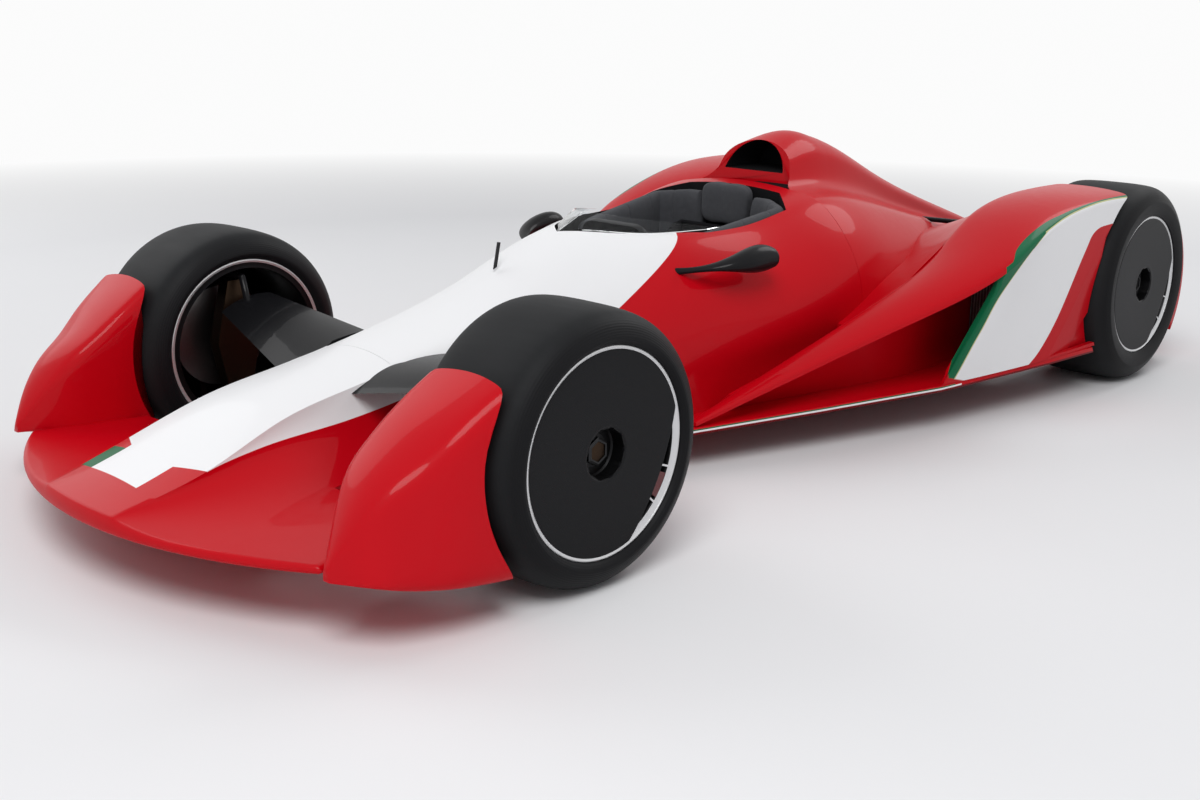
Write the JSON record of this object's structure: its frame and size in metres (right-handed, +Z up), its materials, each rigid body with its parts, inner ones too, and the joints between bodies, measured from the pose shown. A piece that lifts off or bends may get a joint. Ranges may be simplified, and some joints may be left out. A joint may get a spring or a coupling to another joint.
{
  "type": "open wheel racing car",
  "caption": "Low single seat racing car with a flat nose and splitter, deflectors ahead of the front wheels, arches sweeping up to the rear wheels, slick tyres on covered rims.",
  "frame": {"origin": "on the floor, midway between nose and tail, in the car's centre plane", "axes": "+X to the car's left side, +Y to the tail, +Z up"},
  "size_m": [1.7934, 4.26, 0.8937],
  "materials": {
    "body_paint": "gloss red paint, with white on the nose",
    "stripe_paint": "gloss white, green and red paint",
    "carbon": "glossy dark carbon fibre",
    "dark_steel": "black painted steel",
    "mirror_glass": "mirror glass",
    "clear_screen": "clear screen",
    "padding": "dark grey cloth",
    "tyre": "satin slick tread",
    "rim_metal": "machined lip, dark satin inside",
    "cover_charcoal": "charcoal gloss disc",
    "bronze_alloy": "dark bronze alloy",
    "disc_steel": "machined iron",
    "radiator_core": "dark finned core",
    "engine_block": "plain dark casting"
  },
  "bodies": {
    "chassis": {"arch_left": "body_paint", "arch_right": "body_paint", "cockpit_padding": "padding", "dashboard": "carbon", "diffuser": "carbon", "engine": "engine_block", "engine_cover": "body_paint", "floor": "carbon", "front_deflectors": "body_paint", "front_lower_arms": "dark_steel", "front_upper_arms": "carbon", "gearbox": "engine_block", "mirror_glasses": "mirror_glass", "mirrors": "carbon", "nose_cone": "body_paint", "radiators": "radiator_core", "rear_arms": "dark_steel", "rear_fairings": "body_paint", "rear_uprights": "bronze_alloy", "seat": "padding", "side_panels": "stripe_paint", "speed_probe": "dark_steel", "steering_column": "dark_steel", "tail_cone": "body_paint", "tub": "body_paint", "windscreen": "clear_screen"},
    "steering_wheel": {"steering_wheel": "carbon"},
    "knuckle_left": {"front_knuckle_left": "bronze_alloy"},
    "front_wheel_left": {"front_tyre_left": "tyre", "front_rim_left": "rim_metal", "front_wheel_cover_left": "cover_charcoal", "brake_disc_left": "disc_steel"},
    "rear_wheel_left": {"rear_tyre_left": "tyre", "rear_rim_left": "rim_metal", "rear_wheel_cover_left": "cover_charcoal", "rear_driveshaft_left": "dark_steel"},
    "knuckle_right": {"front_knuckle_right": "bronze_alloy"},
    "front_wheel_right": {"front_tyre_right": "tyre", "front_rim_right": "rim_metal", "front_wheel_cover_right": "cover_charcoal", "brake_disc_right": "disc_steel"},
    "rear_wheel_right": {"rear_tyre_right": "tyre", "rear_rim_right": "rim_metal", "rear_wheel_cover_right": "cover_charcoal", "rear_driveshaft_right": "dark_steel"}
  },
  "joints": [
    {"name": "steering_wheel_turn", "type": "hinge", "parent": "chassis", "child": "steering_wheel", "pos_m": [0, -0.3878, 0.563], "axis": [0, 0.9703, 0.2419], "range_deg": [-120, 120]},
    {"name": "front_steer_left", "type": "hinge", "parent": "chassis", "child": "knuckle_left", "pos_m": [0.7095, -1.3, 0.325], "axis": [0, 0, 1], "range_deg": [-12, 12]},
    {"name": "front_spin_left", "type": "hinge", "parent": "knuckle_left", "child": "front_wheel_left", "pos_m": [0.7195, -1.3, 0.325], "axis": [1, 0, 0], "continuous": true},
    {"name": "rear_spin_left", "type": "hinge", "parent": "chassis", "child": "rear_wheel_left", "pos_m": [0.7225, 1.495, 0.355], "axis": [1, 0, 0], "continuous": true},
    {"name": "front_steer_right", "type": "hinge", "parent": "chassis", "child": "knuckle_right", "pos_m": [-0.7095, -1.3, 0.325], "axis": [0, 0, 1], "range_deg": [-12, 12]},
    {"name": "front_spin_right", "type": "hinge", "parent": "knuckle_right", "child": "front_wheel_right", "pos_m": [-0.7195, -1.3, 0.325], "axis": [1, 0, 0], "continuous": true},
    {"name": "rear_spin_right", "type": "hinge", "parent": "chassis", "child": "rear_wheel_right", "pos_m": [-0.7225, 1.495, 0.355], "axis": [1, 0, 0], "continuous": true}
  ],
  "couplings": [
    {"joint": "front_steer_right", "follows": "front_steer_left", "ratio": 1},
    {"joint": "steering_wheel_turn", "follows": "front_steer_left", "ratio": 10}
  ]
}
